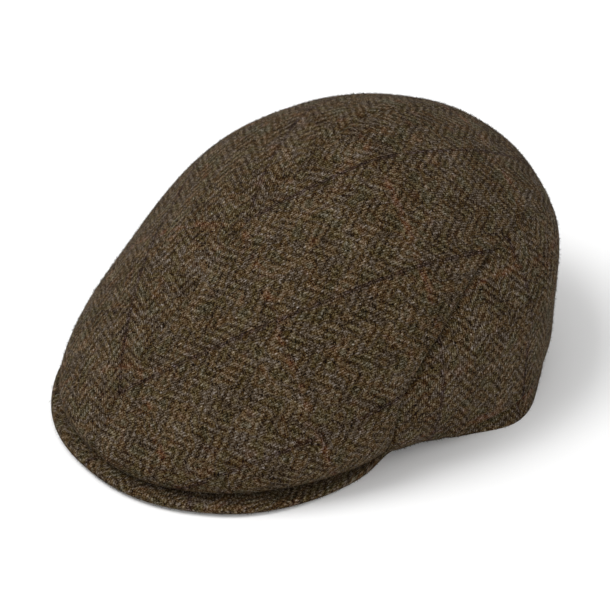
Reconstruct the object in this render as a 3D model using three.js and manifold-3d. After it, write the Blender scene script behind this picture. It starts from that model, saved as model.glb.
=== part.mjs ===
// Flat cap in herringbone tweed: two mirrored crown halves, a back panel that wraps round
// from side to side, and a short stiff peak under the crown's front.
// Millimetres, +Z up, the peak towards -Y and the wearer's left towards +X.

import * as THREE from 'three';
import { mergeVertices } from 'three/addons/utils/BufferGeometryUtils.js';
import Module from 'manifold-3d';

const wasm = await Module();
wasm.setup();

// Driving dimensions of the crown, measured from the centre of its plan
const CROWN_WIDTH = 200;
const FRONT_REACH = 157;
const BACK_REACH = 99;
const CROWN_HEIGHT = 126.5;
const TOP_SETBACK = 7.5;
const TWEED_THICKNESS = 2.4;
const SEAM_GAP = 0.3;

// The head's oval, which the cap's opening and the peak's inner edge follow
const HEAD_LENGTH = 200;
const HEAD_WIDTH = 166;

// Driving dimensions of the peak
const PEAK_THICKNESS = 4.7;
const PEAK_SHOWS = 11.3;
const PEAK_END_WIDTH = 8;
const PEAK_ARCH = 0.8;
const PEAK_HALF_ANGLE = 62;

// Depth and breadth of the soft valley along the back panel's seam, and of the fold above its hem
const VALLEY_DEPTH = 1.8;
const VALLEY_BREADTH = 12;
const FOLD_BREADTH = 12;

// Exponents of the plan's outline: 2 is an ellipse, and more is squarer
const FRONT_SQUARENESS = 2.25;
const BACK_SQUARENESS = 2.12;

// How fine the faceted walls are
const DIRECTION_COUNT = 72;
const DOME_RINGS = 16;
const WALL_RINGS = 8;
const SEAM_STEPS = 28;
const NOSE_STEPS = 4;

// The crown in each direction, from the front at 0 degrees to the back at 180.
// fullest: height of its widest line, as a share of the crown's height
// tuck: how far it rolls in below that line, as a share of half its width, less than 0 where it flares
// slope, shoulder: exponents of the dome, which is fuller as they grow
// foldUp, foldIn: height and depth of the fold above the hem, as the same two shares
const CROWN_DIRECTIONS = [
  { angle: 0, fullest: 0.115, tuck: 0.02, slope: 1.25, shoulder: 1.19, foldUp: 0.08, foldIn: 0 },
  { angle: 20, fullest: 0.12, tuck: 0.045, slope: 1.38, shoulder: 1.24, foldUp: 0.08, foldIn: 0 },
  { angle: 40, fullest: 0.155, tuck: 0.085, slope: 1.59, shoulder: 1.37, foldUp: 0.08, foldIn: 0 },
  { angle: 55, fullest: 0.215, tuck: 0.13, slope: 1.77, shoulder: 1.54, foldUp: 0.085, foldIn: 0 },
  { angle: 70, fullest: 0.285, tuck: 0.12, slope: 1.8, shoulder: 1.67, foldUp: 0.1, foldIn: 0.01 },
  { angle: 85, fullest: 0.33, tuck: 0.025, slope: 1.74, shoulder: 1.63, foldUp: 0.13, foldIn: 0.03 },
  { angle: 100, fullest: 0.36, tuck: -0.07, slope: 1.65, shoulder: 1.54, foldUp: 0.155, foldIn: 0.03 },
  { angle: 120, fullest: 0.415, tuck: 0.005, slope: 1.55, shoulder: 1.47, foldUp: 0.175, foldIn: 0.02 },
  { angle: 150, fullest: 0.52, tuck: 0.055, slope: 1.42, shoulder: 1.52, foldUp: 0.19, foldIn: 0 },
  { angle: 180, fullest: 0.58, tuck: 0.075, slope: 1.46, shoulder: 1.58, foldUp: 0.2, foldIn: 0 },
];

// How far the peak's rim stands out from the crown's edge, from its middle at 0 to its end at 1.
// along: place along the peak, as a share of its half angle
// shows: how far the rim stands out, as a share of the most that shows, less than 0 under the crown
const PEAK_RIM = [
  { along: 0, shows: 0.62 },
  { along: 0.32, shows: 0.83 },
  { along: 0.5, shows: 1 },
  { along: 0.66, shows: 0.88 },
  { along: 0.84, shows: 0.52 },
  { along: 1, shows: -0.28 },
];

// The back panel's upper seam, seen from the side, from the hem beside the peak's end to the back.
// back: distance behind the plan's centre, as a share of the back reach
// up: height, as a share of the crown's height
const PANEL_SEAM = [
  { back: -0.56, up: -0.1 },
  { back: -0.545, up: 0.15 },
  { back: -0.52, up: 0.28 },
  { back: -0.435, up: 0.375 },
  { back: -0.3, up: 0.47 },
  { back: -0.04, up: 0.6 },
  { back: 0.15, up: 0.655 },
  { back: 0.35, up: 0.675 },
  { back: 0.55, up: 0.66 },
  { back: 0.73, up: 0.605 },
  { back: 1.2, up: 0.42 },
];

const HALF_WIDTH = CROWN_WIDTH / 2;
const UP = new THREE.Vector3(0, 0, 1);

function smoothStep(share) {
  return THREE.MathUtils.smoothstep(share, 0, 1);
}

// Angle from the front, 0 to 180 degrees on either side
function angleFromFront(direction) {
  const turned = THREE.MathUtils.euclideanModulo(direction + 180, 360) - 180;
  return Math.abs(turned);
}

// A table's column as a smooth curve through its rows and level at both ends
function tableCurve(rows, key, column, at) {
  const steepness = (row) => {
    if (row === 0 || row === rows.length - 1) return 0;
    const [before, after] = [rows[row - 1], rows[row + 1]];
    return (after[column] - before[column]) / (after[key] - before[key]);
  };
  const next = Math.max(1, rows.findIndex((row) => row[key] >= at));
  const [start, end] = [rows[next - 1], rows[next]];
  const span = end[key] - start[key];
  const u = (at - start[key]) / span;
  return start[column] * (2 * u ** 3 - 3 * u ** 2 + 1)
    + steepness(next - 1) * span * (u ** 3 - 2 * u ** 2 + u)
    + end[column] * (3 * u ** 2 - 2 * u ** 3)
    + steepness(next) * span * (u ** 3 - u ** 2);
}

function crownColumn(column, direction) {
  return tableCurve(CROWN_DIRECTIONS, 'angle', column, angleFromFront(direction));
}

// Unit vector outwards in a direction, in the plan
function outward(direction) {
  const angle = THREE.MathUtils.degToRad(direction);
  return new THREE.Vector3(Math.sin(angle), -Math.cos(angle), 0);
}

// Distance from the plan's centre to the crown's widest line
function planReach(direction) {
  const way = outward(direction);
  const isFront = way.y < 0;
  const reach = isFront ? FRONT_REACH : BACK_REACH;
  const n = isFront ? FRONT_SQUARENESS : BACK_SQUARENESS;
  return (Math.abs(way.x / HALF_WIDTH) ** n + Math.abs(way.y / reach) ** n) ** (-1 / n);
}

// The peak: its underside rises from its ends to its middle, and it thins towards its ends
const PEAK_END_THINNING = 0.45;

function peakShare(direction) {
  return Math.min(angleFromFront(direction) / PEAK_HALF_ANGLE, 1);
}

function peakUnderside(direction) {
  return PEAK_ARCH * (1 - peakShare(direction) ** 2);
}

function peakThickness(direction) {
  return PEAK_THICKNESS * (1 - PEAK_END_THINNING * peakShare(direction) ** 2);
}

function peakTop(direction) {
  return peakUnderside(direction) + peakThickness(direction);
}

// Height of the crown's lower edge: it sits on the peak, then drops to the resting surface
const EDGE_LEVEL_PAST_PEAK = 6;
const EDGE_DROP_ANGLE = 16;

function edgeHeight(direction) {
  const past = angleFromFront(direction) - PEAK_HALF_ANGLE - EDGE_LEVEL_PAST_PEAK;
  return (peakTop(direction) + SEAM_GAP) * (1 - smoothStep(past / EDGE_DROP_ANGLE));
}

function edgeReach(direction) {
  const inward = crownColumn('tuck', direction) + crownColumn('foldIn', direction);
  return planReach(direction) - inward * HALF_WIDTH;
}

// The dome falls from 1 at the top to 0 at the widest line, with a rounded top
const TOP_ROUNDING = 0.2;

function domeFall(along, slope, shoulder) {
  const lift = (t) => (t * t + TOP_ROUNDING ** 2) ** (slope / 2) - TOP_ROUNDING ** slope;
  return Math.max(0, 1 - lift(along) / lift(1)) ** (1 / shoulder);
}

// Distance in the side view from a point to the back panel's seam
const seamLine = new THREE.SplineCurve(
  PANEL_SEAM.map((row) => new THREE.Vector2(row.back * BACK_REACH, row.up * CROWN_HEIGHT)),
);
const seamPoints = seamLine.getSpacedPoints(SEAM_STEPS);

function distanceToSeam(point) {
  const spot = new THREE.Vector2(point.y, point.z);
  return Math.min(...seamPoints.map((seamPoint) => seamPoint.distanceTo(spot)));
}

// The valley fades towards the back, from a place given as a share of the back reach
const VALLEY_FADES_FROM = -0.4;

function valleyDepth(point) {
  const fade = 1 - smoothStep(point.y / BACK_REACH - VALLEY_FADES_FROM);
  return VALLEY_DEPTH * fade * Math.exp(-((distanceToSeam(point) / VALLEY_BREADTH) ** 2));
}

// Outer face of the crown: ring 0 is the top, DOME_RINGS the widest line, and then the lower wall
const ROLL_UNDER = THREE.MathUtils.degToRad(70);

function crownPoint(direction, ring) {
  const way = outward(direction);
  const widest = way.clone().multiplyScalar(planReach(direction));
  const fullest = crownColumn('fullest', direction) * CROWN_HEIGHT;
  const top = new THREE.Vector3(0, TOP_SETBACK, 0);
  const point = new THREE.Vector3();
  if (ring <= DOME_RINGS) {
    const along = Math.sin((ring / DOME_RINGS) * Math.PI / 2);
    const fall = domeFall(along, crownColumn('slope', direction), crownColumn('shoulder', direction));
    point.lerpVectors(top, widest, along);
    point.z = fullest + (CROWN_HEIGHT - fullest) * fall;
  } else {
    const roll = ((ring - DOME_RINGS) / WALL_RINGS) * ROLL_UNDER;
    const inShare = (1 - Math.cos(roll)) / (1 - Math.cos(ROLL_UNDER));
    const downShare = Math.sin(roll) / Math.sin(ROLL_UNDER);
    point.copy(widest).addScaledVector(way, -crownColumn('tuck', direction) * HALF_WIDTH * inShare);
    point.z = fullest - (fullest - edgeHeight(direction)) * downShare;
  }
  const foldTop = crownColumn('foldUp', direction) * CROWN_HEIGHT;
  const foldDepth = crownColumn('foldIn', direction) * HALF_WIDTH;
  const underFold = smoothStep((foldTop - point.z) / FOLD_BREADTH);
  const inward = foldDepth * underFold + valleyDepth(point);
  return point.addScaledVector(way, -inward);
}

// The outer face's normal, from its neighbours along the ring and down the wall
function crownNormal(direction, ring) {
  const nudge = 0.02;
  const last = DOME_RINGS + WALL_RINGS;
  const above = crownPoint(direction, Math.max(ring - nudge, 0));
  const below = crownPoint(direction, Math.min(ring + nudge, last));
  const left = crownPoint(direction - nudge, ring);
  const right = crownPoint(direction + nudge, ring);
  return below.sub(above).cross(right.sub(left)).normalize();
}

// A closed solid from loops of points, with each end closed by a fan about its own centre
function solidFromLoops(startCentre, loops, endCentre) {
  const count = loops[0].length;
  const points = [startCentre, ...loops.flat(), endCentre];
  const at = (loop, step) => 1 + loop * count + (step % count);
  const faces = [];
  for (let step = 0; step < count; step += 1) {
    faces.push(0, at(0, step), at(0, step + 1));
    faces.push(points.length - 1, at(loops.length - 1, step + 1), at(loops.length - 1, step));
    for (let loop = 0; loop < loops.length - 1; loop += 1) {
      faces.push(at(loop, step), at(loop + 1, step), at(loop + 1, step + 1));
      faces.push(at(loop, step), at(loop + 1, step + 1), at(loop, step + 1));
    }
  }
  const geometry = new THREE.BufferGeometry().setFromPoints(points);
  geometry.setIndex(faces);
  return geometry;
}

// The whole crown as one open shell of cloth, before it is cut into panels
function crownShell() {
  const directions = Array.from({ length: DIRECTION_COUNT }, (_, k) => (k * 360) / DIRECTION_COUNT);
  const last = DOME_RINGS + WALL_RINGS;
  const loops = [];
  for (let ring = 1; ring <= last; ring += 1) {
    loops.push(directions.map((direction) => crownPoint(direction, ring)));
  }
  loops.push(directions.map((direction) => (
    crownPoint(direction, last).addScaledVector(outward(direction), -TWEED_THICKNESS)
  )));
  for (let ring = last - 1; ring >= 1; ring -= 1) {
    loops.push(directions.map((direction) => (
      crownPoint(direction, ring).addScaledVector(crownNormal(direction, ring), -TWEED_THICKNESS)
    )));
  }
  const top = crownPoint(0, 0);
  const underTop = top.clone().addScaledVector(UP, -TWEED_THICKNESS);
  return solidFromLoops(top, loops, underTop);
}

// Everything below and behind the back panel's seam, moved outwards by a clearance
function belowSeam(clearance) {
  const far = BACK_REACH + FRONT_REACH;
  const steps = Array.from({ length: SEAM_STEPS + 1 }, (_, k) => k / SEAM_STEPS);
  const edge = steps.map((step) => {
    const tangent = seamLine.getTangentAt(step);
    const normal = new THREE.Vector2(-tangent.y, tangent.x);
    return seamLine.getPointAt(step).addScaledVector(normal, clearance);
  });
  const outline = new THREE.Shape(edge);
  outline.lineTo(far, edge[SEAM_STEPS].y);
  outline.lineTo(far, edge[0].y);
  const slab = new THREE.ExtrudeGeometry(outline, { depth: 2 * CROWN_WIDTH, bevelEnabled: false });
  slab.translate(0, 0, -CROWN_WIDTH);
  const sideView = new THREE.Matrix4().makeBasis(
    new THREE.Vector3(0, 1, 0),
    new THREE.Vector3(0, 0, 1),
    new THREE.Vector3(1, 0, 0),
  );
  return slab.applyMatrix4(sideView);
}

// A block on one side of the centre seam
function besideCentre(side) {
  const size = 4 * (FRONT_REACH + BACK_REACH);
  const block = new THREE.BoxGeometry(size, size, size);
  return block.translate(side * (size / 2 + SEAM_GAP / 2), 0, 0);
}

// Solids that can be cut, and back to geometry
function toSolid(geometry) {
  const bare = geometry.clone();
  bare.deleteAttribute('normal');
  bare.deleteAttribute('uv');
  const merged = mergeVertices(bare);
  return new wasm.Manifold(new wasm.Mesh({
    numProp: 3,
    vertProperties: new Float32Array(merged.attributes.position.array),
    triVerts: new Uint32Array(merged.index.array),
  }));
}

function toGeometry(solid) {
  const mesh = solid.getMesh();
  const geometry = new THREE.BufferGeometry();
  geometry.setAttribute('position', new THREE.BufferAttribute(mesh.vertProperties, 3));
  geometry.setIndex(new THREE.BufferAttribute(mesh.triVerts, 1));
  return geometry;
}

// Olive-brown tweed of the crown, and the same cloth pressed over the peak's stiff board
const tweed = new THREE.MeshStandardMaterial({ color: 0x493e31, roughness: 0.95, metalness: 0 });
const peakTweed = new THREE.MeshStandardMaterial({ color: 0x443a2e, roughness: 0.92, metalness: 0 });

function piece(name, geometry, material) {
  geometry.computeVertexNormals();
  const mesh = new THREE.Mesh(geometry, material);
  mesh.name = name;
  return mesh;
}

function crownHalf(name, side) {
  const half = toSolid(crownShell())
    .subtract(toSolid(belowSeam(SEAM_GAP)))
    .intersect(toSolid(besideCentre(side)));
  return piece(name, toGeometry(half), tweed);
}

function backPanel() {
  const panel = toSolid(crownShell()).intersect(toSolid(belowSeam(0)));
  return piece('back_panel', toGeometry(panel), tweed);
}

// Distance from the plan's centre to the head's oval, whose back lies against the hem
function headOvalReach(direction) {
  const way = outward(direction);
  const halfLength = HEAD_LENGTH / 2;
  const behind = edgeReach(180) - TWEED_THICKNESS - halfLength;
  const a = (way.x / (HEAD_WIDTH / 2)) ** 2 + (way.y / halfLength) ** 2;
  const b = (-2 * way.y * behind) / halfLength ** 2;
  const c = (behind / halfLength) ** 2 - 1;
  return (-b + Math.sqrt(b * b - 4 * a * c)) / (2 * a);
}

function peakSection(direction) {
  const standsOut = tableCurve(PEAK_RIM, 'along', 'shows', peakShare(direction)) * PEAK_SHOWS;
  const rim = edgeReach(direction) + standsOut;
  const inner = Math.min(headOvalReach(direction), rim - PEAK_END_WIDTH);
  const under = peakUnderside(direction);
  const radius = peakThickness(direction) / 2;
  const section = [{ reach: inner, up: under }];
  for (let k = 0; k <= NOSE_STEPS; k += 1) {
    const turn = Math.PI * (k / NOSE_STEPS - 0.5);
    const nose = rim - radius + radius * Math.cos(turn);
    section.push({ reach: nose, up: under + radius * (1 + Math.sin(turn)) });
  }
  section.push({ reach: inner, up: peakTop(direction) });
  return section.map(({ reach, up }) => outward(direction).multiplyScalar(reach).setZ(up));
}

// The peak: a crescent plate with a rounded rim, lofted through one section for each direction
function peak() {
  const step = 360 / DIRECTION_COUNT;
  const count = 2 * Math.ceil(PEAK_HALF_ANGLE / step) + 1;
  const loops = [];
  for (let k = 0; k < count; k += 1) {
    const direction = PEAK_HALF_ANGLE * ((2 * k) / (count - 1) - 1);
    loops.push(peakSection(direction));
  }
  const middleOf = (loop) => (
    loop.reduce((sum, point) => sum.add(point), new THREE.Vector3()).divideScalar(loop.length)
  );
  const geometry = solidFromLoops(middleOf(loops[0]), loops, middleOf(loops[count - 1]));
  return piece('peak', geometry, peakTweed);
}

// The cap stands on its hem, with the middle of its plan at the origin
const cap = new THREE.Group();
cap.add(
  crownHalf('crown_left', 1),
  crownHalf('crown_right', -1),
  backPanel(),
  peak(),
);
const extent = new THREE.Box3().setFromObject(cap);
cap.position.set(0, -(extent.min.y + extent.max.y) / 2, 0);

export default cap;
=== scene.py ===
"""Flat cap in herringbone tweed with a faint windowpane check, set down on a pale surface."""

import math

import bpy
import numpy as np
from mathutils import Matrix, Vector
from mathutils.geometry import delaunay_2d_cdt


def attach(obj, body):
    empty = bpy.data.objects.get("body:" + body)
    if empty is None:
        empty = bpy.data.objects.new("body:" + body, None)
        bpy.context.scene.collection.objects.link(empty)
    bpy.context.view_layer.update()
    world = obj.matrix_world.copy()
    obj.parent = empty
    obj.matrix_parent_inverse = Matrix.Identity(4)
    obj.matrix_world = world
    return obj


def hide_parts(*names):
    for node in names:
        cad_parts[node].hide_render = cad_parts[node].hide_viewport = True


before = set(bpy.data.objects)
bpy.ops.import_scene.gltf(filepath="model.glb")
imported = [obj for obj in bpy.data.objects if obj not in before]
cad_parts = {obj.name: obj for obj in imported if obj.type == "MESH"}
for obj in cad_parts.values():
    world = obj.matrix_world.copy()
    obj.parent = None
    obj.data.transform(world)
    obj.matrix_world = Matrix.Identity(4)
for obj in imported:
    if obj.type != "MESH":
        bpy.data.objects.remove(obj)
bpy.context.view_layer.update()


# Crown halves. Two mirror-image pieces of tweed, sewn together down the middle and steamed over a
# block into a dome that bulges past the hem. Their seam allowances are turned in.
MM = 0.001

# Lengths are in millimetres, from the middle of the crown's plan
CROWN_WIDTH = 200
FRONT_REACH = 157
BACK_REACH = 99
CROWN_HEIGHT = 126.5
TOP_SETBACK = 7.5
PLAN_MIDDLE_Y = 31.5
FRONT_SQUARENESS = 2.25
BACK_SQUARENESS = 2.12
TOP_ROUNDING = 0.2
ROLL_UNDER = math.radians(70)
WIDEST_SHARE = 2 / 3
CLOTH_THICKNESS = 2.4

# The crown's front edge lies on the peak, and comes down to the floor past the peak's ends
PEAK_HALF_ANGLE = 62
PEAK_ARCH = 0.8
PEAK_THICKNESS = 4.7
PEAK_END_THINNING = 0.45
CREASE_GAP = 0.9
EDGE_LEVEL_PAST_PEAK = 6
EDGE_FALLS_OVER = 16

# A row for each direction round the crown, in degrees from the front: the widest line's height,
# how far the wall tucks in below it, the dome's slope and shoulder, and the fold above the hem
CROWN_COLUMNS = ("angle", "fullest", "tuck", "slope", "shoulder", "fold_up", "fold_in")
CROWN_DIRECTIONS = np.array([
    (0, 0.115, 0.020, 1.25, 1.19, 0.005, 0),
    (20, 0.120, 0.045, 1.38, 1.24, 0.005, 0),
    (40, 0.155, 0.085, 1.59, 1.37, 0.005, 0),
    (55, 0.215, 0.130, 1.77, 1.54, 0.005, 0),
    (70, 0.285, 0.120, 1.80, 1.67, 0.015, 0.010),
    (85, 0.330, 0.020, 1.74, 1.63, 0.060, 0.035),
    (100, 0.360, -0.070, 1.65, 1.54, 0.090, 0.030),
    (120, 0.415, 0.005, 1.55, 1.47, 0.115, 0.020),
    (150, 0.520, 0.045, 1.42, 1.52, 0.140, 0.010),
    (180, 0.580, 0.070, 1.46, 1.58, 0.150, 0.005),
])


def smooth_step(share):
    share = np.clip(share, 0, 1)
    return share * share * (3 - 2 * share)


def from_front(direction):
    """Degrees from the front to a direction, either way round."""
    return np.abs((direction + 180) % 360 - 180)


def table_curve(places, values, at):
    """A column of a table as a smooth curve through its rows, level at both ends."""
    slopes = np.zeros(len(places))
    slopes[1:-1] = (values[2:] - values[:-2]) / (places[2:] - places[:-2])
    row = np.clip(np.searchsorted(places, at) - 1, 0, len(places) - 2)
    span = places[row + 1] - places[row]
    u = (at - places[row]) / span
    return (values[row] * (2 * u**3 - 3 * u**2 + 1)
            + slopes[row] * span * (u**3 - 2 * u**2 + u)
            + values[row + 1] * (3 * u**2 - 2 * u**3)
            + slopes[row + 1] * span * (u**3 - u**2))


def crown_column(name, direction):
    values = CROWN_DIRECTIONS[:, CROWN_COLUMNS.index(name)]
    return table_curve(CROWN_DIRECTIONS[:, 0], values, from_front(direction))


def outward(direction):
    angle = np.radians(direction)
    return np.stack([np.sin(angle), -np.cos(angle), np.zeros_like(angle)], axis=-1)


def plan_reach(direction):
    """How far the crown's widest line lies from the middle: two half ovals, a little squared."""
    way = outward(direction)
    front = way[..., 1] < 0
    reach = np.where(front, FRONT_REACH, BACK_REACH)
    squareness = np.where(front, FRONT_SQUARENESS, BACK_SQUARENESS)
    across = np.abs(way[..., 0]) / (CROWN_WIDTH / 2)
    along = np.abs(way[..., 1]) / reach
    return (across**squareness + along**squareness) ** (-1 / squareness)


def peak_share(direction):
    return np.minimum(from_front(direction) / PEAK_HALF_ANGLE, 1)


def peak_under(direction):
    return PEAK_ARCH * (1 - peak_share(direction) ** 2)


def peak_thick(direction):
    return PEAK_THICKNESS * (1 - PEAK_END_THINNING * peak_share(direction) ** 2)


def edge_height(direction):
    past = from_front(direction) - PEAK_HALF_ANGLE - EDGE_LEVEL_PAST_PEAK
    top = peak_under(direction) + peak_thick(direction) + CREASE_GAP
    return top * (1 - smooth_step(past / EDGE_FALLS_OVER))


def crown_profile(direction, share):
    """The smooth crown. The share runs from 0 at the top, past the widest line, to 1 at the hem."""
    way = outward(direction)
    reach = plan_reach(direction)[..., None]
    fullest = crown_column("fullest", direction) * CROWN_HEIGHT
    slope = crown_column("slope", direction)
    shoulder = crown_column("shoulder", direction)
    down = share / WIDEST_SHARE
    along = np.sin(np.minimum(down, 1) * math.pi / 2)

    def lift(t):
        return (t * t + TOP_ROUNDING**2) ** (slope / 2) - TOP_ROUNDING**slope

    fall = np.maximum(0, 1 - lift(along) / lift(1.0)) ** (1 / shoulder)
    roll = np.clip((share - WIDEST_SHARE) / (1 - WIDEST_SHARE), 0, 1) * ROLL_UNDER
    rolled_in = (1 - np.cos(roll)) / (1 - math.cos(ROLL_UNDER))
    rolled_down = np.sin(roll) / math.sin(ROLL_UNDER)
    tuck = crown_column("tuck", direction) * CROWN_WIDTH / 2
    top = np.array([0, TOP_SETBACK, 0])
    point = top + (way * reach - top) * along[..., None] - way * (tuck * rolled_in)[..., None]
    dome = fullest + (CROWN_HEIGHT - fullest) * fall
    wall = fullest - (fullest - edge_height(direction)) * rolled_down
    point[..., 2] = np.where(down <= 1, dome, wall)
    return point


# The seam to the back panel, seen from the side: how far behind the plan's middle, as a share
# of the back reach, and how high, as a share of the crown's height
PANEL_SEAM = np.array([
    (-0.56, -0.10), (-0.545, 0.15), (-0.52, 0.28), (-0.435, 0.375), (-0.30, 0.47), (-0.04, 0.60),
    (0.15, 0.655), (0.35, 0.675), (0.55, 0.66), (0.73, 0.605), (1.20, 0.42),
])
SEAM_STEPS = 600


def spline(rows, steps):
    """A smooth curve through the rows of a table."""
    padded = np.vstack([2 * rows[0] - rows[1], rows, 2 * rows[-1] - rows[-2]])
    t = np.linspace(0, len(rows) - 1 - 1e-9, steps)
    k = t.astype(int)
    u = (t - k)[:, None]
    a, b, c, d = (padded[k + n] for n in range(4))
    square = (2 * a - 5 * b + 4 * c - d) * u**2
    cube = (3 * b - a - 3 * c + d) * u**3
    return 0.5 * (2 * b + (c - a) * u + square + cube)


seam_side = spline(PANEL_SEAM, SEAM_STEPS) * (BACK_REACH, CROWN_HEIGHT)


def nearest_gap(points, line, parts=40):
    """The distance from each point to the nearest point of a line."""
    spots = points.reshape(-1, 1, 2)
    gaps = [np.linalg.norm(part - line, axis=2).min(axis=1) for part in np.array_split(spots, parts)]
    return np.concatenate(gaps).reshape(points.shape[:-1])


# Tweed never lies quite smooth: broad shallow waves run through it, a valley follows the seam to
# the back panel, and the cloth tucks in above the hem with a crease
WAVE_COUNT = 14
WAVE_LENGTH = 62
WAVE_LENGTHS = (0.6, 1.5)
WAVE_DEPTH = 0.3
STILL_TOP = 0.2
STILL_HEM = 4
WAVES_GROW_OVER = 20
VALLEY_DEPTH = 2.4
VALLEY_BREADTH = 9
VALLEY_FADES_FROM = -0.4
FOLD_BREADTH = 3
CREASE_PLACE = 0.7
CREASE_DEPTH = 2.2
CREASE_BREADTH = 1.5
CREASE_FULL_AT = 1.5

rng = np.random.default_rng(7)
wave_ways = rng.normal(size=(WAVE_COUNT, 3))
wave_ways /= np.linalg.norm(wave_ways, axis=1)[:, None]
wave_counts = 2 * math.pi / (WAVE_LENGTH * rng.uniform(*WAVE_LENGTHS, WAVE_COUNT))
wave_starts = rng.uniform(0, 2 * math.pi, WAVE_COUNT)


def undulation(point):
    phase = np.tensordot(point, (wave_ways * wave_counts[:, None]).T, axes=1) + wave_starts
    return WAVE_DEPTH * np.sin(phase).sum(axis=-1) / math.sqrt(WAVE_COUNT / 2)


def crown_point(direction, share):
    """The crown with its waves and folds."""
    way = outward(direction)
    point = crown_profile(direction, share)
    fold_top = crown_column("fold_up", direction) * CROWN_HEIGHT
    fold_depth = crown_column("fold_in", direction) * CROWN_WIDTH / 2
    under_fold = smooth_step((fold_top - point[..., 2]) / FOLD_BREADTH)
    from_crease = point[..., 2] - fold_top + FOLD_BREADTH * CREASE_PLACE
    crease = np.exp(-((from_crease / CREASE_BREADTH) ** 2)) * smooth_step(fold_depth / CREASE_FULL_AT)
    fade = 1 - smooth_step(point[..., 1] / BACK_REACH - VALLEY_FADES_FROM)
    valley = fade * np.exp(-((nearest_gap(point[..., 1:3], seam_side[::4]) / VALLEY_BREADTH) ** 2))
    waves = undulation(point) * smooth_step(share / STILL_TOP)
    waves *= smooth_step((point[..., 2] - STILL_HEM) / WAVES_GROW_OVER)
    inwards = fold_depth * under_fold + CREASE_DEPTH * crease + VALLEY_DEPTH * valley
    return point + way * (waves - inwards)[..., None]


# The crown is laid out flat as a disc whose radius is the distance down the cloth from the top,
# so that each panel's outline can be filled with even triangles
LAYOUT_DIRECTIONS = np.arange(0, 361, 1.0)
LAYOUT_SHARES = np.linspace(0, 1, 241)
LAST_SHARE = len(LAYOUT_SHARES) - 1
layout_points = crown_profile(*np.meshgrid(LAYOUT_DIRECTIONS, LAYOUT_SHARES, indexing="ij"))
layout_steps = np.linalg.norm(np.diff(layout_points, axis=1), axis=2)
layout_radius = np.pad(np.cumsum(layout_steps, axis=1), ((0, 0), (1, 0)))


def from_layout(spot):
    """Direction and share down the crown of points on the flat layout."""
    direction = np.degrees(np.arctan2(spot[..., 0], -spot[..., 1])) % 360
    radius = np.hypot(spot[..., 0], spot[..., 1])
    low = np.floor(direction).astype(int)
    between = direction - low

    def share_at(row):
        reach = layout_radius[row % len(LAYOUT_DIRECTIONS)]
        k = np.clip((reach <= radius[..., None]).sum(axis=-1) - 1, 0, LAST_SHARE - 1)
        start = np.take_along_axis(reach, k[..., None], axis=-1)[..., 0]
        end = np.take_along_axis(reach, k[..., None] + 1, axis=-1)[..., 0]
        return (k + (radius - start) / (end - start)) / LAST_SHARE

    share = share_at(low) * (1 - between) + share_at(low + 1) * between
    return direction, np.clip(share, 0, 1)


def to_layout(direction, share):
    """Points on the flat layout of directions and shares down the crown."""
    low = np.minimum(direction.astype(int), len(LAYOUT_DIRECTIONS) - 2)
    between = direction - low
    column = share * LAST_SHARE
    k = np.minimum(column.astype(int), LAST_SHARE - 1)

    def radius_at(row):
        start = layout_radius[row, k]
        return start + (layout_radius[row, k + 1] - start) * (column - k)

    radius = radius_at(low) * (1 - between) + radius_at(low + 1) * between
    return outward(direction)[..., :2] * radius[..., None]


SPACING = 1.7


def resample(line):
    """The same line with evenly spaced points."""
    steps = np.linalg.norm(np.diff(line, axis=0), axis=1)
    run = np.concatenate([[0], np.cumsum(steps)])
    count = max(2, round(run[-1] / SPACING) + 1)
    wanted = np.linspace(0, run[-1], count)
    return np.stack([np.interp(wanted, run, line[:, k]) for k in range(line.shape[1])], axis=1)


SEAM_ROUNDS = 25
NUDGE = (0.01, 0.0001)
LONGEST_STEP = np.array([2, 0.02])
SEAM_MISS = 0.05
HEM_STEPS = 400


def seam_on_layout():
    """The back panel's left seam on the flat layout, from the hem to the middle of the back: for
    each point of the side view, the nearest one of a coarse grid, then Newton's steps from there."""
    directions, shares = np.meshgrid(np.arange(50, 180, 2.0), np.arange(0.2, 1.0, 0.01))
    grid = crown_profile(directions, shares)[..., 1:].reshape(-1, 2)
    nearest = np.linalg.norm(seam_side[:, None] - grid, axis=2).argmin(axis=1)
    spot = np.stack([directions.ravel()[nearest], shares.ravel()[nearest]], axis=1)
    for _ in range(SEAM_ROUNDS):
        here = crown_profile(*spot.T)[:, 1:]
        turned_on = crown_profile(spot[:, 0] + NUDGE[0], spot[:, 1])[:, 1:]
        moved_down = crown_profile(spot[:, 0], spot[:, 1] + NUDGE[1])[:, 1:]
        slopes = np.stack([(turned_on - here) / NUDGE[0], (moved_down - here) / NUDGE[1]], axis=2)
        slopes += np.eye(2) * 1e-9
        step = np.linalg.solve(slopes, (seam_side - here)[..., None])[..., 0]
        step = np.clip(step, -LONGEST_STEP, LONGEST_STEP)
        spot = np.clip(spot + step, (40, 0.05), (179.99, 1.05))
    missed = np.linalg.norm(crown_profile(*spot.T)[:, 1:] - seam_side, axis=1)
    on_seam = (missed < SEAM_MISS) & (spot[:, 1] < 0.999) & (spot[:, 0] < 179.9)
    return to_layout(spot[on_seam, 0], spot[on_seam, 1])


def hem_line(start, end):
    directions = np.linspace(start, end, HEM_STEPS)
    return resample(to_layout(directions, np.ones(len(directions))))


def hem_spot(direction):
    return to_layout(np.array([direction]), np.array([1.0]))[0]


left_seam = seam_on_layout()
seam_hem_direction = float(from_layout(left_seam[:1])[0][0])
left_seam[0] = hem_spot(seam_hem_direction)
left_seam[-1, 0] = 0
left_seam = resample(left_seam)
right_seam = left_seam[::-1] * (-1, 1)
centre_seam = resample(np.array([hem_spot(0.0), left_seam[-1]]))

# Rows of points follow each panel's edge, ever wider apart, before the even grid inside
EDGE_ROWS = (0.45, 1.0, 1.7, 2.7)
GRID_FROM_EDGE = 3.4
CLOSEST_SHARE = 0.93


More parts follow.
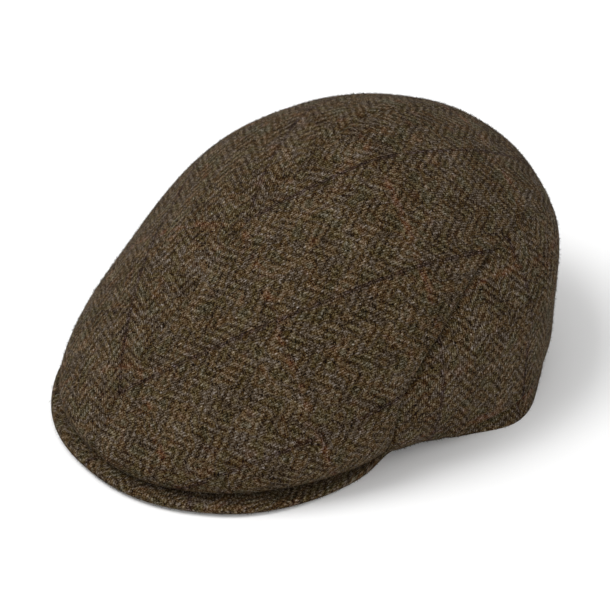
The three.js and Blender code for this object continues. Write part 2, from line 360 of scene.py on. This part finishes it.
def fill_outline(lines):
    """Even triangles inside a closed outline on the layout, finer along its edge."""
    outline = np.concatenate([line[:-1] for line in lines])
    ahead = np.roll(outline, -1, axis=0)
    run = ahead - np.roll(outline, 1, axis=0)
    left = np.stack([-run[:, 1], run[:, 0]], axis=1) / np.linalg.norm(run, axis=1)[:, None]
    area = np.sum(outline[:, 0] * ahead[:, 1] - outline[:, 1] * ahead[:, 0])
    inwards = left if area > 0 else -left
    low, high = outline.min(axis=0), outline.max(axis=0)
    xs = np.arange(low[0], high[0], SPACING)
    ys = np.arange(low[1], high[1], SPACING * math.sqrt(3) / 2)
    grid = np.stack(np.meshgrid(xs, ys), axis=-1)
    grid[1::2, :, 0] += SPACING / 2
    grid = grid.reshape(-1, 2)
    spots = np.concatenate([grid] + [outline + inwards * depth for depth in EDGE_ROWS])
    depths = np.repeat((GRID_FROM_EDGE, *EDGE_ROWS), [len(grid)] + [len(outline)] * len(EDGE_ROWS))
    inside = np.zeros(len(spots), bool)
    x, y = spots.T
    for (ax, ay), (bx, by) in zip(outline, ahead):
        crosses = (ay > y) != (by > y)
        if ay != by:
            inside ^= crosses & (x < (bx - ax) * (y - ay) / (by - ay) + ax)
    keep = inside & (nearest_gap(spots, outline) > depths * CLOSEST_SHARE)
    points = np.concatenate([outline, spots[keep]])
    found = delaunay_2d_cdt([Vector(p) for p in points], [], [list(range(len(outline)))], 1, 1e-6)
    flat = np.array([tuple(v) for v in found[0]])
    faces = np.array([f for f in found[2] if len(f) == 3])
    a, b, c = (flat[faces[:, k]] for k in range(3))
    turn = (b - a)[:, 0] * (c - a)[:, 1] - (b - a)[:, 1] * (c - a)[:, 0]
    return flat, np.where(turn[:, None] > 0, faces, faces[:, ::-1])


def turned(cloth, angle, shift):
    """Cloth coordinates turned and moved, so that the weave and its checks lie as they were cut."""
    c, s = math.cos(math.radians(angle)), math.sin(math.radians(angle))
    return cloth @ np.array([[c, s], [-s, c]]) + shift


MAP_ORDER = 8
MAP_ROUNDS = 60


def flatten(flat, faces, points):
    """Where each point lies on the cloth before it was shaped: the flat pattern of a panel,
    found as the smooth map that keeps lengths and right angles as nearly as it can."""
    centre = flat.mean(axis=0)
    x, y = ((flat - centre) / np.abs(flat - centre).max()).T
    orders = range(MAP_ORDER + 1)
    terms = [(i, j) for i in orders for j in range(MAP_ORDER + 1 - i) if i + j > 0]
    tx = np.polynomial.chebyshev.chebvander(x, MAP_ORDER)
    ty = np.polynomial.chebyshev.chebvander(y, MAP_ORDER)
    basis = np.stack([tx[:, i] * ty[:, j] for i, j in terms], axis=1)
    a, b, c = (points[faces[:, k]] for k in range(3))
    first = b - a
    length = np.linalg.norm(first, axis=1)
    way = first / length[:, None]
    normal = np.cross(first, c - a)
    area = np.linalg.norm(normal, axis=1)
    side = np.cross(normal / area[:, None], way)
    cx = np.sum((c - a) * way, axis=1)
    cy = np.sum((c - a) * side, axis=1)
    gx = (basis[faces[:, 1]] - basis[faces[:, 0]]) / length[:, None]
    gy = (basis[faces[:, 2]] - basis[faces[:, 0]] - gx * cx[:, None]) / cy[:, None]
    weight = area[:, None]
    normal_matrix = gx.T @ (gx * weight) + gy.T @ (gy * weight)
    normal_matrix += np.eye(len(terms)) * normal_matrix.trace() * 1e-12
    u, v = np.linalg.lstsq(basis, flat - centre, rcond=None)[0].T
    for _ in range(MAP_ROUNDS):
        cosine = gx @ u + gy @ v
        sine = gx @ v - gy @ u
        scale = area / (np.hypot(cosine, sine) + 1e-12)
        cosine, sine = cosine * scale, sine * scale
        u = np.linalg.solve(normal_matrix, gx.T @ cosine - gy.T @ sine)
        v = np.linalg.solve(normal_matrix, gx.T @ sine + gy.T @ cosine)
    cloth = np.stack([basis @ u, basis @ v], axis=1)
    cloth -= cloth.mean(axis=0)
    before = flat - centre
    slip = np.sum(before[:, 0] * cloth[:, 1] - before[:, 1] * cloth[:, 0])
    return turned(cloth, -math.degrees(math.atan2(slip, np.sum(before * cloth))), (0, 0))


def vertex_normals(points, faces):
    a, b, c = (points[faces[:, k]] for k in range(3))
    face_normals = np.cross(b - a, c - a)
    normals = np.zeros_like(points)
    for k in range(3):
        np.add.at(normals, faces[:, k], face_normals)
    return normals / np.linalg.norm(normals, axis=1)[:, None]


CENTRE_DIP = 0.9
PANEL_DIP = 2.0
PANEL_DIP_BEHIND = 0.45
DIP_LESSENS_OVER = 0.625
SEAM_SOFTNESS = 1.2


def panel_shell(flat, faces, lines):
    """The closed shell of a panel's cloth, outer points first, with its seam edges turned in."""
    outer = crown_point(*from_layout(flat))
    normals = vertex_normals(outer, faces)
    dip = np.zeros(len(flat))
    for line in lines:
        depth = CENTRE_DIP
        if line is left_seam or line is right_seam:
            behind = smooth_step(outer[:, 1] / BACK_REACH / DIP_LESSENS_OVER)
            depth = PANEL_DIP + (PANEL_DIP_BEHIND - PANEL_DIP) * behind
        dip = np.maximum(dip, depth * np.exp(-((nearest_gap(flat, line) / SEAM_SOFTNESS) ** 2)))
    outer = outer - normals * dip[:, None]
    inner = outer - normals * (CLOTH_THICKNESS - dip / 2)[:, None]
    inner[:, 2] = np.maximum(inner[:, 2], 0)
    count = len(flat)
    sides = np.concatenate([faces[:, [0, 1]], faces[:, [1, 2]], faces[:, [2, 0]]]).tolist()
    sides = dict.fromkeys(map(tuple, sides))
    wall = []
    for a, b in sides:
        if (b, a) not in sides:
            wall += [(b, a, a + count), (b, a + count, b + count)]
    return np.concatenate([outer, inner]), np.concatenate([faces, faces[:, ::-1] + count, wall])


def add_mesh(name, points, faces, cloth, material):
    """A mesh object from points in millimetres about the plan's middle."""
    mesh = bpy.data.meshes.new(name)
    placed = (points + (0, PLAN_MIDDLE_Y, 0)) * MM
    mesh.from_pydata(placed.tolist(), [], faces.tolist())
    layer = mesh.uv_layers.new(name="Cloth")
    corners = np.empty(len(mesh.loops), dtype=np.int32)
    mesh.loops.foreach_get("vertex_index", corners)
    layer.data.foreach_set("uv", (cloth[corners] * MM).astype(np.float32).ravel())
    mesh.polygons.foreach_set("use_smooth", [True] * len(mesh.polygons))
    mesh.materials.append(material)
    mesh.update()
    piece = bpy.data.objects.new(name, mesh)
    bpy.context.collection.objects.link(piece)
    return piece


# Tweed: two by two herringbone of spun and dyed wool, woven loose and left unshorn. A light warp
# crosses a darker weft, eight yarns to a column, which gives the eye slanting lines that turn at
# each column. Plum yarns in the warp and rust yarns in the weft make the check. Its pitches and
# the sizes of its patches are in millimetres, with the yarns a little coarse so that they show.
WARP_PITCH = 1.15
WEFT_PITCH = 1.25
COLUMN_YARNS = 8
CHECK_WARPS = 48
CHECK_WEFTS = 56
YARN_WANDER = 2.4
WANDER_SIZE = 3.85
DYE_SIZE = 8.7
RUST_PATCH_SIZE = 7.7
WORN_SIZE = 8.33
PLUM_FADE_SIZE = 10.5
PATCH_SIZE = 16.7
FIBRE_SIZE = 0.8
FINE_FIBRE_SIZE = 0.417
FIBRE_STRETCH = 0.5
RELIEF = 0.42

# Places along the dye's noise, with the wool's colours there: browns that lean to olive, heather
# or rust
DYES = (
    (0.32, "372f1c"), (0.4, "3c2f13"), (0.46, "392c1a"), (0.51, "372c1e"), (0.56, "3d2e13"),
    (0.62, "3e2c15"), (0.7, "372d18"),
)
RUST_WOOL = "5a3619"
RUST_YARN = "5a3117"
PLUM_YARN = "2e2021"

# Steps of tone over the dye, as shares of full brightness
TWILL_TONE = 0.1
# Painted shade in the gaps between the yarns: each warp yarn is darker at its edges than in its middle
YARN_GAP_SHADE = 0.13
FLOAT_TONE = 0.02
CROSSING_TONE = 0.09
FIBRE_TONE = 0.58
FINE_TONE = 0.62
PATCH_TONE = 0.25
PLUM_TONE = 0.085
TONE_TINT = (0.97, 1.0, 1.1)
DARKEST = (0.05, 0.04, 0.03)
DISPLAY_GAMMA = 2.2


def linear(code):
    """An sRGB hex colour as linear light."""
    channels = [int(code[k:k + 2], 16) / 255 for k in (0, 2, 4)]
    return tuple(c / 12.92 if c <= 0.04045 else ((c + 0.055) / 1.055) ** 2.4 for c in channels) + (1,)


def tweed(name):
    """Tweed drawn from the cloth coordinates, which are metres along and across the weave."""
    material = bpy.data.materials.new(name)
    material.use_nodes = True
    tree = material.node_tree
    tree.nodes.clear()

    def node(kind, inputs=(), output=0, **settings):
        """Adds a node with its settings, and its inputs as values or as other nodes' outputs."""
        added = tree.nodes.new("ShaderNode" + kind)
        for key, value in settings.items():
            setattr(added, key, value)
        for key, value in (inputs if isinstance(inputs, dict) else dict(enumerate(inputs))).items():
            if isinstance(value, bpy.types.NodeSocket):
                tree.links.new(value, added.inputs[key])
            else:
                added.inputs[key].default_value = value
        return added.outputs[output] if added.outputs else None

    def cloudy(where, size, detail, roughness):
        """The settings of a noise whose clouds are so many millimetres in size."""
        return {"Vector": where, "Scale": 1 / (size * MM), "Detail": detail, "Roughness": roughness}

    # Spun yarns wander, so the weave is drawn a little out of true
    place = node("UVMap", uv_map="Cloth")
    wander = node("TexNoise", cloudy(place, WANDER_SIZE, 4.0, 0.7), output=1)
    drift = node("VectorMath", (wander, (0.5, 0.5, 0.5)), operation="SUBTRACT")
    push = node("VectorMath", {0: drift, 3: YARN_WANDER * MM}, operation="SCALE")
    moved = node("VectorMath", (place, push), operation="ADD")
    yarns_a_metre = (1 / (WARP_PITCH * MM), 1 / (WEFT_PITCH * MM), 1.0)
    yarns = node("VectorMath", (moved, yarns_a_metre), operation="MULTIPLY")
    across = node("SeparateXYZ", (yarns,))
    along = across.node.outputs[1]

    # Which yarn each point is on, and whether the warp or the weft lies on top there
    warp = node("Math", (across,), operation="FLOOR")
    weft = node("Math", (along,), operation="FLOOR")
    in_warp = node("Math", (across,), operation="FRACT")
    in_weft = node("Math", (along,), operation="FRACT")
    columns = node("Math", (warp, float(COLUMN_YARNS)), operation="DIVIDE")
    column = node("Math", (columns,), operation="FLOOR")
    odd_column = node("Math", (column, 2.0), operation="FLOORED_MODULO")
    turn = node("Math", (odd_column, 2.0, -1.0), operation="MULTIPLY_ADD")
    step = node("Math", (warp, turn, along), operation="MULTIPLY_ADD")
    over = node("Math", (step, 4.0), operation="FLOORED_MODULO")
    warp_on_top = node("Math", (over, 2.0), operation="LESS_THAN")
    weft_step = node("Math", (across, turn, weft), operation="MULTIPLY_ADD")
    weft_place = node("Math", (weft_step, 4.0), operation="FLOORED_MODULO")
    weft_halves = node("Math", (weft_place, 2.0), operation="DIVIDE")
    weft_run = node("Math", (weft_halves,), operation="FRACT")

    # Dyed wool, in soft patches that run into each other, with rust here and there
    dye = node("ValToRGB", (node("TexNoise", cloudy(place, DYE_SIZE, 1.0, 0.5)),))
    stops = dye.node.color_ramp.elements
    while len(stops) < len(DYES):
        stops.new(1.0)
    for stop, (where, code) in zip(stops, DYES):
        stop.position = where
        stop.color = linear(code)
    rust_noise = node("TexNoise", cloudy(place, RUST_PATCH_SIZE, 1.0, 0.5))
    rust_patch = node("MapRange", (rust_noise, 0.58, 0.76, 0.0, 0.25))
    dye = node("Mix", {0: rust_patch, 6: dye, 7: linear(RUST_WOOL)}, output=2, data_type="RGBA")

    def check_line(count, repeat, core, softness):
        reach = 4.0
        shifted = node("Math", (count, reach - 0.5), operation="ADD")
        repeated = node("Math", (shifted, float(repeat)), operation="FLOORED_MODULO")
        beside = node("Math", (repeated, reach), operation="SUBTRACT")
        distance = node("Math", (beside,), operation="ABSOLUTE")
        return node("Math", (distance, -softness, core), operation="MULTIPLY_ADD", use_clamp=True)

    # The check shows most where its own yarn lies on top, and has worn off in places
    plum_line = check_line(across, CHECK_WARPS, 1.3, 0.9)
    plum_shows = node("Math", (warp_on_top, 0.5, 0.5), operation="MULTIPLY_ADD")
    plum_noise = node("TexNoise", cloudy(place, PLUM_FADE_SIZE, 2.0, 0.6))
    plum_left = node("MapRange", (plum_noise, 0.4, 0.58, 0.4, 1.0))
    plum = node("Math", (plum_line, plum_shows), operation="MULTIPLY")
    plum = node("Math", (plum, plum_left), operation="MULTIPLY")
    rust_line = check_line(along, CHECK_WEFTS, 1.4, 0.7)
    rust_shows = node("Math", (warp_on_top, -0.4, 1.0), operation="MULTIPLY_ADD")
    worn_noise = node("TexNoise", cloudy(place, WORN_SIZE, 2.0, 0.6))
    rust_left = node("MapRange", (worn_noise, 0.47, 0.62, 0.05, 0.9))
    rust = node("Math", (rust_line, rust_shows), operation="MULTIPLY")
    rust = node("Math", (rust, rust_left), operation="MULTIPLY")
    for line, strength, code in ((plum, 0.6, PLUM_YARN), (rust, 0.5, RUST_YARN)):
        share = node("Math", (line, strength), operation="MULTIPLY")
        dye = node("Mix", {0: share, 6: dye, 7: linear(code)}, output=2, data_type="RGBA")

    def chance(x, y):
        """A random tone for each pair of whole numbers."""
        pair = node("CombineXYZ", (x, y, 0.0))
        return node("TexWhiteNoise", {"Vector": pair}, noise_dimensions="2D")

    def by_yarn(of_weft, of_warp):
        return node("Mix", {0: warp_on_top, 2: of_weft, 3: of_warp})

    def fibres_along_yarn(size):
        """Streaks that follow whichever yarn lies on top."""
        upright = node("VectorMath", (place, (1.0, FIBRE_STRETCH, 1.0)), operation="MULTIPLY")
        level = node("VectorMath", (place, (FIBRE_STRETCH, 1.0, 1.0)), operation="MULTIPLY")
        of_weft = node("TexNoise", cloudy(level, size, 1.0, 0.6))
        return by_yarn(of_weft, node("TexNoise", cloudy(upright, size, 1.0, 0.6)))

    def hump(share):
        """Rises from 0 to 1 and falls back as the share runs from 0 to 1."""
        angle = node("Math", (share, math.pi), operation="MULTIPLY")
        return node("Math", (angle,), operation="SINE")

    # Light and dark wool, as steps of tone over the dye: the twill, painted shade that darkens the
    # edges of each warp yarn where the gaps between the yarns lie, then each float of a yarn, each
    # crossing, the single fibres, and broad patches where the wool is paler
    warp_floats = node("Math", (node("Math", (step, 4.0), operation="DIVIDE"),), operation="FLOOR")
    weft_floats = node("Math", (node("Math", (weft_step, 4.0), operation="DIVIDE"),), operation="FLOOR")
    weft_middle = node("Math", (weft, 0.5), operation="ADD")
    float_tone = by_yarn(chance(weft_floats, weft_middle), chance(warp, warp_floats))
    crossing = chance(node("Math", (warp, 0.25), operation="ADD"), weft)
    fibres = fibres_along_yarn(FIBRE_SIZE)
    fine_fibres = fibres_along_yarn(FINE_FIBRE_SIZE)
    patches = node("TexNoise", cloudy(place, PATCH_SIZE, 4.0, 0.7))
    tones = (
        (warp_on_top, TWILL_TONE), (hump(in_warp), YARN_GAP_SHADE), (float_tone, FLOAT_TONE),
        (crossing, CROSSING_TONE), (fibres, FIBRE_TONE), (fine_fibres, FINE_TONE), (patches, PATCH_TONE),
    )
    level_tone = -sum(amount for _, amount in tones) / 2
    tone = node("Math", (plum, -PLUM_TONE, level_tone), operation="MULTIPLY_ADD")
    for value, amount in tones:
        tone = node("Math", (value, amount, tone), operation="MULTIPLY_ADD")
    tinted = node("VectorMath", (tone, TONE_TINT), operation="MULTIPLY")
    seen = node("Gamma", (dye, 1 / DISPLAY_GAMMA))
    toned = node("VectorMath", (seen, tinted), operation="ADD")
    kept = node("VectorMath", (toned, DARKEST), operation="MAXIMUM")
    shade = node("Gamma", (kept, DISPLAY_GAMMA))

    # The relief: round yarns that rise in the middle of each float, with stray fibres over them
    warp_bulge = hump(node("Math", (over, 2.0), operation="DIVIDE"))
    warp_height = node("Math", (warp_bulge, hump(in_warp)), operation="MULTIPLY")
    weft_height = node("Math", (hump(weft_run), hump(in_weft)), operation="MULTIPLY")
    weave = by_yarn(node("Math", (weft_height, 0.6), operation="MULTIPLY"), warp_height)
    stray = node("Math", (fibres, 0.9), operation="MULTIPLY")
    height = node("Math", (weave, 0.7, stray), operation="MULTIPLY_ADD")
    relief = node("Bump", {"Height": height, "Strength": 0.9, "Distance": RELIEF * MM})

    # Wool is matt and scatters light every way, so it has hardly any gloss
    surface = node("BsdfPrincipled", {
        "Base Color": shade, "Roughness": 0.95, "Metallic": 0.0, "IOR": 1.5,
        "Specular IOR Level": 0.1, "Normal": relief,
    })
    node("OutputMaterial", {"Surface": surface})
    return material


# Each half is cut on its own grain and is the other's mirror image, so the checks meet in points
# at the middle. The right half's cloth lies whole checks further along the same bolt.
HALF_GRAIN = -161.25
HALF_CUT_AT = (5.2, -37.1)
RIGHT_CUT_FURTHER = (9 * CHECK_WARPS * WARP_PITCH, 7 * CHECK_WEFTS * WEFT_PITCH)

crown_tweed = tweed("tweed of the crown")
half_flat, half_faces = fill_outline([centre_seam, left_seam[::-1], hem_line(seam_hem_direction, 0)])
half_points, half_shell = panel_shell(half_flat, half_faces, [centre_seam, left_seam])
half_cloth = flatten(half_flat, half_faces, half_points[:len(half_flat)])
half_cloth = np.tile(turned(half_cloth, HALF_GRAIN, HALF_CUT_AT), (2, 1))
right_points = half_points * (-1, 1, 1)
right_cloth = half_cloth + RIGHT_CUT_FURTHER
left_half = add_mesh("left_crown_half", half_points, half_shell, half_cloth, crown_tweed)
right_half = add_mesh("right_crown_half", right_points, half_shell[:, ::-1], right_cloth, crown_tweed)
for half, solid in ((left_half, "crown_left"), (right_half, "crown_right")):
    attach(half, "root")
    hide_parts(solid)

# Back panel. The same tweed, wrapped round the back from one side to the other, sewn to the crown
# halves above and turned up inside at the hem. Its cloth is laid as two mirrored halves that meet
# in a shallow seam at the middle of the back, so that the grain stands upright at both sides.
BAND_GRAIN = -131.5
BAND_CUT_AT = (-23.6, 40.3)

back_seam = resample(np.array([left_seam[-1], hem_spot(180.0)]))
band_hem = hem_line(360 - seam_hem_direction, seam_hem_direction)
band_flat, band_faces = fill_outline([left_seam, right_seam, band_hem])
band_points, band_shell = panel_shell(band_flat, band_faces, [left_seam, right_seam, back_seam])
band_cloth = flatten(band_flat, band_faces, band_points[:len(band_flat)])
band_cloth[:, 0] = np.abs(band_cloth[:, 0])
band_cloth = np.tile(turned(band_cloth, BAND_GRAIN, BAND_CUT_AT), (2, 1))
back_panel = add_mesh("back_panel_cloth", band_points, band_shell, band_cloth, crown_tweed)
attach(back_panel, "root")
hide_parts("back_panel")

# Peak. A stiff board covered with the same tweed, pulled tight over its rounded rim and sewn
# under the crown's front edge. Only a narrow strip of it shows in front of the crown.
PEAK_SHOWS = 11.3
PEAK_END_WIDTH = 8
HEAD_LENGTH = 200
HEAD_WIDTH = 166
PEAK_DIRECTIONS = 201
PEAK_FLAT_STEPS = 22
PEAK_RIM_STEPS = 15

# How much of the peak shows, from its middle at 0 to its end at 1, as shares of the most
PEAK_RIM = np.array([(0, 0.62), (0.32, 0.83), (0.5, 1), (0.66, 0.88), (0.84, 0.52), (1, -0.28)])


def edge_reach(direction):
    inward = crown_column("tuck", direction) + crown_column("fold_in", direction)
    return plan_reach(direction) - inward * CROWN_WIDTH / 2


def head_oval(direction):
    """How far the oval of the head lies from the plan's middle."""
    way = outward(direction)
    half = HEAD_LENGTH / 2
    behind = edge_reach(np.array([180.0]))[0] - CLOTH_THICKNESS - half
    a = (way[:, 0] / (HEAD_WIDTH / 2)) ** 2 + (way[:, 1] / half) ** 2
    b = -2 * way[:, 1] * behind / half**2
    c = (behind / half) ** 2 - 1
    return (-b + np.sqrt(b * b - 4 * a * c)) / (2 * a)


peak_tweed = tweed("tweed over the peak")
peak_directions = np.linspace(-PEAK_HALF_ANGLE, PEAK_HALF_ANGLE, PEAK_DIRECTIONS)
shows = table_curve(PEAK_RIM[:, 0], PEAK_RIM[:, 1], peak_share(peak_directions))
rim = edge_reach(peak_directions) + shows * PEAK_SHOWS
inner_edge = np.minimum(head_oval(peak_directions), rim - PEAK_END_WIDTH)
peak_radius = peak_thick(peak_directions) / 2
rim_middle = rim - peak_radius
under = peak_under(peak_directions)

# Round the peak's section: along its underside, round its rim and back over its top. Each point
# has its reach, its height, and how far along the cover it lies.
section = []
for share in np.linspace(0, 1, PEAK_FLAT_STEPS):
    reach = inner_edge + (rim_middle - inner_edge) * share
    section.append((reach, under, reach))
for turn in np.linspace(0, math.pi, PEAK_RIM_STEPS)[1:-1]:
    reach = rim_middle + peak_radius * math.sin(turn)
    section.append((reach, under + peak_radius * (1 - math.cos(turn)), rim_middle + peak_radius * turn))
for share in np.linspace(1, 0, PEAK_FLAT_STEPS):
    reach = inner_edge + (rim_middle - inner_edge) * share
    over_rim = rim_middle + peak_radius * math.pi
    section.append((reach, under + 2 * peak_radius, over_rim + rim_middle - reach))

way = outward(peak_directions)
peak_points = [way * reach[:, None] + np.outer(up, (0, 0, 1)) for reach, up, _ in section]
peak_points = np.stack(peak_points, axis=1)
peak_cloth = np.stack([way[:, :2] * run[:, None] for _, _, run in section], axis=1).reshape(-1, 2)
rows, loop = peak_points.shape[:2]
peak_points = peak_points.reshape(-1, 3)
peak_faces = []
for i in range(rows - 1):
    for j in range(loop):
        a, b = i * loop + j, i * loop + (j + 1) % loop
        peak_faces += [(a, a + loop, b + loop), (a, b + loop, b)]
for i, flip in ((0, 1), (rows - 1, -1)):
    for j in range(1, loop - 1):
        peak_faces.append((i * loop, i * loop + j, i * loop + j + 1)[::flip])
peak_faces = np.array(peak_faces)
peak_piece = add_mesh("peak_board_and_cover", peak_points, peak_faces, peak_cloth, peak_tweed)
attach(peak_piece, "root")
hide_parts("peak")

# Loose fibres. The wool isn't shorn smooth, so short fibres stand off the cloth all over it and
# soften its outline. Each is a ribbon in the colour of the tweed that it grows from, wider than a
# real fibre so that it shows.
FIBRES_PER_HALF = 21000
FIBRES_ON_BAND = 15000
FIBRES_ON_PEAK = 6000
FIBRE_LENGTH = 1.8
FIBRE_WIDTH = 0.15
FIBRE_LENGTHS = (0.4, 1.3)
FIBRE_HALF = 0.45
FIBRE_RISE = (0.2, 0.9)
FIBRE_TIP_RISE = (-0.5, 0.6)
FIBRE_BEND = 0.5
FIBRE_ABOVE_FLOOR = 0.05


def fibre_roots(points, faces, cloth, count):
    """Random places on a surface, with the way out of it and the cloth coordinates there."""
    corners = [points[faces[:, k]] for k in range(3)]
    normals = np.cross(corners[1] - corners[0], corners[2] - corners[0])
    area = np.linalg.norm(normals, axis=1)
    pick = rng.choice(len(faces), count, p=area / area.sum())
    weights = rng.dirichlet((1, 1, 1), count)
    place = sum(corner[pick] * weights[:, k:k + 1] for k, corner in enumerate(corners))
    weave = sum(cloth[faces[pick, k]] * weights[:, k:k + 1] for k in range(3))
    return place, normals[pick] / area[pick, None], weave


roots = [
    fibre_roots(half_points, half_faces, half_cloth, FIBRES_PER_HALF),
    fibre_roots(right_points, half_faces[:, ::-1], right_cloth, FIBRES_PER_HALF),
    fibre_roots(band_points, band_faces, band_cloth, FIBRES_ON_BAND),
    fibre_roots(peak_points, peak_faces, peak_cloth, FIBRES_ON_PEAK),
]
root, out, weave = (np.concatenate(each) for each in zip(*roots))
count = len(root)
along = np.cross(out, rng.normal(size=(count, 3)))
along /= np.linalg.norm(along, axis=1)[:, None]
bend = np.cross(out, along) * rng.normal(0, FIBRE_BEND, (count, 1))
half_length = FIBRE_LENGTH * rng.uniform(*FIBRE_LENGTHS, (count, 1)) * FIBRE_HALF
middle = root + (along + out * rng.uniform(*FIBRE_RISE, (count, 1))) * half_length
tip = middle + (along + bend + out * rng.uniform(*FIBRE_TIP_RISE, (count, 1))) * half_length
half_width = np.cross(out, along) * FIBRE_WIDTH / 2
ribbon = (root - half_width, root + half_width, middle - half_width, middle + half_width, tip)
ribbon = np.stack(ribbon, axis=1)
ribbon[..., 2] = np.maximum(ribbon[..., 2], FIBRE_ABOVE_FLOOR)
fibre_faces = np.array([(0, 1, 3), (0, 3, 2), (2, 3, 4)]) + np.arange(count)[:, None, None] * 5
fibres = add_mesh(
    "loose_wool_fibres", ribbon.reshape(-1, 3), fibre_faces.reshape(-1, 3), np.repeat(weave, 5, axis=0),
    crown_tweed,
)
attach(fibres, "root")

# The pale surface that the cap stands on: white paper, matt and even, which reaches metres past
# the cap on every side so that none of its edges shows.
FLOOR_WIDTH = 8
bpy.ops.mesh.primitive_plane_add(size=FLOOR_WIDTH, location=(0, 0, 0))
floor = bpy.context.object
floor.name = "floor"
floor_paper = bpy.data.materials.new("white paper")
floor_paper.use_nodes = True
paper = floor_paper.node_tree.nodes["Principled BSDF"]
paper.inputs["Base Color"].default_value = linear("f4f4f4")
paper.inputs["Roughness"].default_value = 0.7
floor.data.materials.append(floor_paper)

# Studio light: a bright even room, a large soft lamp above and to the left, and a weak fill from
# the right. Places are in metres, strengths in watts.
ROOM_LIGHT = 0.75
world = bpy.data.worlds.new("studio")
bpy.context.scene.world = world
world.use_nodes = True
sky = world.node_tree.nodes["Background"]
sky.inputs[0].default_value = (1, 1, 1, 1)
sky.inputs[1].default_value = ROOM_LIGHT
LIT_SPOT = Vector((0, 0, 0.05))


def add_lamp(name, place, width, watts):
    lamp = bpy.data.lights.new(name, "AREA")
    lamp.shape = "SQUARE"
    lamp.size = width
    lamp.energy = watts
    holder = bpy.data.objects.new(name, lamp)
    holder.location = place
    holder.rotation_euler = (LIT_SPOT - Vector(place)).to_track_quat("-Z", "Y").to_euler()
    bpy.context.collection.objects.link(holder)


add_lamp("key", (-0.65, -0.7, 1.65), 1.0, 23.5)
add_lamp("fill", (1.6, -0.6, 0.9), 1.2, 6)

# The camera, at the photo's viewing angle: round towards the wearer's left and above. Lengths
# are in metres, and the focal length is in pixels of the photo.
AZIMUTH = math.radians(50.51)
ELEVATION = math.radians(35.95)
ROLL = math.radians(-0.28)
DISTANCE = 1.05
AIM = Vector((-0.0155, 0.0150, 0.0190))
FOCAL_PIXELS = 2100
IMAGE_PIXELS = 610
SENSOR_WIDTH = 36
level = math.cos(ELEVATION)
back = Vector((math.sin(AZIMUTH) * level, -math.cos(AZIMUTH) * level, math.sin(ELEVATION)))
camera_data = bpy.data.cameras.new("camera")
camera_data.sensor_width = SENSOR_WIDTH
camera_data.lens = FOCAL_PIXELS / IMAGE_PIXELS * SENSOR_WIDTH
camera = bpy.data.objects.new("camera", camera_data)
camera.location = AIM + back * DISTANCE
camera.rotation_euler = (-back).to_track_quat("-Z", "Y").to_euler()
camera.rotation_euler.rotate_axis("Z", ROLL)
bpy.context.collection.objects.link(camera)
bpy.context.scene.camera = camera
bpy.context.scene.view_settings.view_transform = "Standard"
